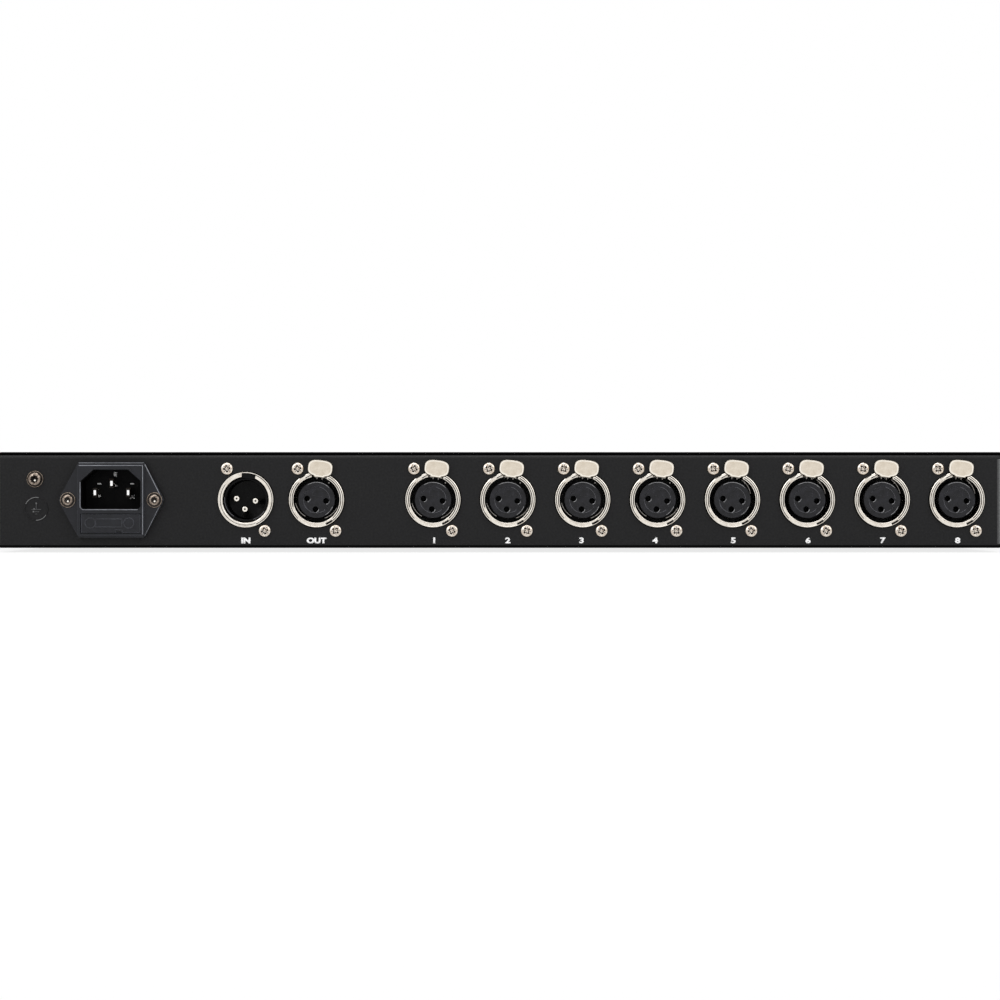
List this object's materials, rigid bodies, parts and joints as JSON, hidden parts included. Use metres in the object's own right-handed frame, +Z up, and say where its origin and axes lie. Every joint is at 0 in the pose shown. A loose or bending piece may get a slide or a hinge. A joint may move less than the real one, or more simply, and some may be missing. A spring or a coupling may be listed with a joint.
{
  "type": "dmx splitter",
  "caption": "Rack-mount stage lighting data splitter: slim black steel box with a row of latching round connectors, a mains inlet with fuse drawer and a rack front panel.",
  "frame": {"origin": "middle of the footprint, on the surface that the unit stands on", "axes": "+X along the unit's width, to the right as the connector wall is read; +Y from the connector wall to the front panel; +Z up"},
  "size_m": [0.4826, 0.1478, 0.044],
  "materials": {
    "powder_coat": "black powder coat, fine texture",
    "nickel": "nickel plate on die-cast zinc, satin",
    "black_insert": "moulded black polyamide",
    "black_plastic": "moulded black polycarbonate, satin",
    "contact_metal": "tinned brass",
    "zinc_plate": "zinc-plated steel",
    "black_screw": "black oxide steel",
    "circuit_board": "glass-fibre board, green solder mask",
    "laminations": "varnished steel laminations",
    "fuse_glass": "clear glass with metal caps"
  },
  "bodies": {
    "housing": {"chassis_tray": "powder_coat", "top_cover": "powder_coat", "front_panel": "powder_coat", "earth_screw": "zinc_plate", "inlet_housing": "black_plastic", "inlet_contact_line": "contact_metal", "inlet_contact_neutral": "contact_metal", "inlet_contact_earth": "contact_metal", "inlet_screw_left": "zinc_plate", "inlet_screw_right": "zinc_plate", "input_shell": "nickel", "input_insert": "black_insert", "input_pin_1": "contact_metal", "input_pin_2": "contact_metal", "input_pin_3": "contact_metal", "link_shell": "nickel", "link_insert": "black_insert", "output_1_shell": "nickel", "output_1_insert": "black_insert", "output_2_shell": "nickel", "output_2_insert": "black_insert", "output_3_shell": "nickel", "output_3_insert": "black_insert", "output_4_shell": "nickel", "output_4_insert": "black_insert", "output_5_shell": "nickel", "output_5_insert": "black_insert", "output_6_shell": "nickel", "output_6_insert": "black_insert", "output_7_shell": "nickel", "output_7_insert": "black_insert", "output_8_shell": "nickel", "output_8_insert": "black_insert", "power_switch_housing": "black_plastic", "cover_screw_left_1": "black_screw", "cover_screw_left_2": "black_screw", "cover_screw_right_1": "black_screw", "cover_screw_right_2": "black_screw", "panel_screw_1": "black_screw", "panel_screw_2": "black_screw", "panel_screw_3": "black_screw", "panel_screw_4": "black_screw", "connector_board": "circuit_board", "main_board": "circuit_board", "power_board": "circuit_board", "transformer": "laminations", "indicator_board": "circuit_board"},
    "fuse_drawer": {"fuse_drawer": "black_plastic", "fuse": "fuse_glass"},
    "power_rocker": {"power_switch_rocker": "black_plastic"},
    "link_latch": {"link_latch": "nickel"},
    "output_1_latch": {"output_1_latch": "nickel"},
    "output_2_latch": {"output_2_latch": "nickel"},
    "output_3_latch": {"output_3_latch": "nickel"},
    "output_4_latch": {"output_4_latch": "nickel"},
    "output_5_latch": {"output_5_latch": "nickel"},
    "output_6_latch": {"output_6_latch": "nickel"},
    "output_7_latch": {"output_7_latch": "nickel"},
    "output_8_latch": {"output_8_latch": "nickel"}
  },
  "joints": [
    {"name": "fuse_drawer_slide", "type": "slide", "parent": "housing", "child": "fuse_drawer", "axis": [0, -1, 0], "range_m": [0, 0.014]},
    {"name": "power_rocker_pivot", "type": "hinge", "parent": "housing", "child": "power_rocker", "pos_m": [-0.184, 0.06948, 0.022], "axis": [-1, 0, 0], "range_deg": [0, 20]},
    {"name": "link_latch_pivot", "type": "hinge", "parent": "housing", "child": "link_latch", "pos_m": [-0.07594, -0.06042, 0.03232], "axis": [-0.9925, 0, 0.1219], "range_deg": [0, 8], "stiffness_Nm_per_rad": 0.1, "springref_deg": -2.86},
    {"name": "output_1_latch_pivot", "type": "hinge", "parent": "housing", "child": "output_1_latch", "pos_m": [-0.02694, -0.06042, 0.03232], "axis": [-0.9925, 0, 0.1219], "range_deg": [0, 8], "stiffness_Nm_per_rad": 0.1, "springref_deg": -2.86},
    {"name": "output_2_latch_pivot", "type": "hinge", "parent": "housing", "child": "output_2_latch", "pos_m": [0.00456, -0.06042, 0.03232], "axis": [-0.9925, 0, 0.1219], "range_deg": [0, 8], "stiffness_Nm_per_rad": 0.1, "springref_deg": -2.86},
    {"name": "output_3_latch_pivot", "type": "hinge", "parent": "housing", "child": "output_3_latch", "pos_m": [0.03606, -0.06042, 0.03232], "axis": [-0.9925, 0, 0.1219], "range_deg": [0, 8], "stiffness_Nm_per_rad": 0.1, "springref_deg": -2.86},
    {"name": "output_4_latch_pivot", "type": "hinge", "parent": "housing", "child": "output_4_latch", "pos_m": [0.06756, -0.06042, 0.03232], "axis": [-0.9925, 0, 0.1219], "range_deg": [0, 8], "stiffness_Nm_per_rad": 0.1, "springref_deg": -2.86},
    {"name": "output_5_latch_pivot", "type": "hinge", "parent": "housing", "child": "output_5_latch", "pos_m": [0.09906, -0.06042, 0.03232], "axis": [-0.9925, 0, 0.1219], "range_deg": [0, 8], "stiffness_Nm_per_rad": 0.1, "springref_deg": -2.86},
    {"name": "output_6_latch_pivot", "type": "hinge", "parent": "housing", "child": "output_6_latch", "pos_m": [0.13056, -0.06042, 0.03232], "axis": [-0.9925, 0, 0.1219], "range_deg": [0, 8], "stiffness_Nm_per_rad": 0.1, "springref_deg": -2.86},
    {"name": "output_7_latch_pivot", "type": "hinge", "parent": "housing", "child": "output_7_latch", "pos_m": [0.16206, -0.06042, 0.03232], "axis": [-0.9925, 0, 0.1219], "range_deg": [0, 8], "stiffness_Nm_per_rad": 0.1, "springref_deg": -2.86},
    {"name": "output_8_latch_pivot", "type": "hinge", "parent": "housing", "child": "output_8_latch", "pos_m": [0.19356, -0.06042, 0.03232], "axis": [-0.9925, 0, 0.1219], "range_deg": [0, 8], "stiffness_Nm_per_rad": 0.1, "springref_deg": -2.86}
  ]
}
